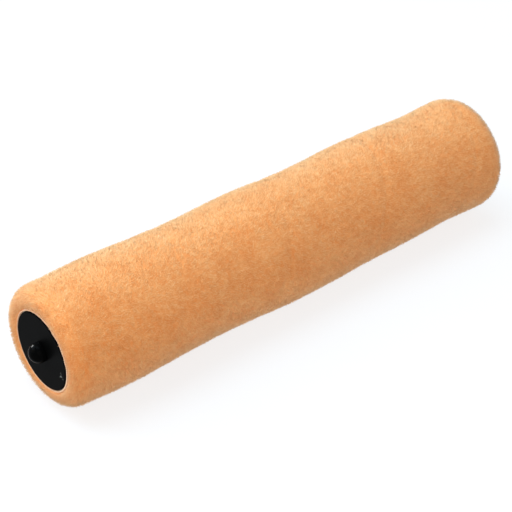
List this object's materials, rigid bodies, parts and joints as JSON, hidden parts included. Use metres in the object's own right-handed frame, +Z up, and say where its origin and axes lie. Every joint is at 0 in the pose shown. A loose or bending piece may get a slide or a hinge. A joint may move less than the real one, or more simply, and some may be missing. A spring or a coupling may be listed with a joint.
{
  "type": "paint roller sleeve",
  "caption": "Pile-covered paint roller sleeve with a capped core and a turning domed spindle at each end, for a double-arm frame.",
  "frame": {"origin": "centre of the sleeve, on its spin axis, halfway between the two spindle noses", "axes": "+X along the spin axis towards the right end; +Y and +Z across it, +Z up"},
  "size_m": [0.3206, 0.0696, 0.0696],
  "materials": {
    "core_plastic": "matte",
    "backing_knit": "matte",
    "pile_fibre": "matte",
    "cap_plastic": "satin",
    "spindle_plastic": "gloss",
    "retainer_steel": "satin"
  },
  "bodies": {
    "sleeve": {"core_tube": "core_plastic", "backing_fabric": "backing_knit", "pile": "pile_fibre", "left_end_cap": "cap_plastic", "right_end_cap": "cap_plastic"},
    "left_stub": {"left_spindle": "spindle_plastic", "left_retainer": "retainer_steel"},
    "right_stub": {"right_spindle": "spindle_plastic", "right_retainer": "retainer_steel"}
  },
  "joints": [
    {"name": "left_spin", "type": "hinge", "parent": "sleeve", "child": "left_stub", "pos_m": [-0.1535, 0, 0], "axis": [1, 0, 0], "continuous": true},
    {"name": "right_spin", "type": "hinge", "parent": "sleeve", "child": "right_stub", "pos_m": [0.1535, 0, 0], "axis": [1, 0, 0], "continuous": true}
  ]
}
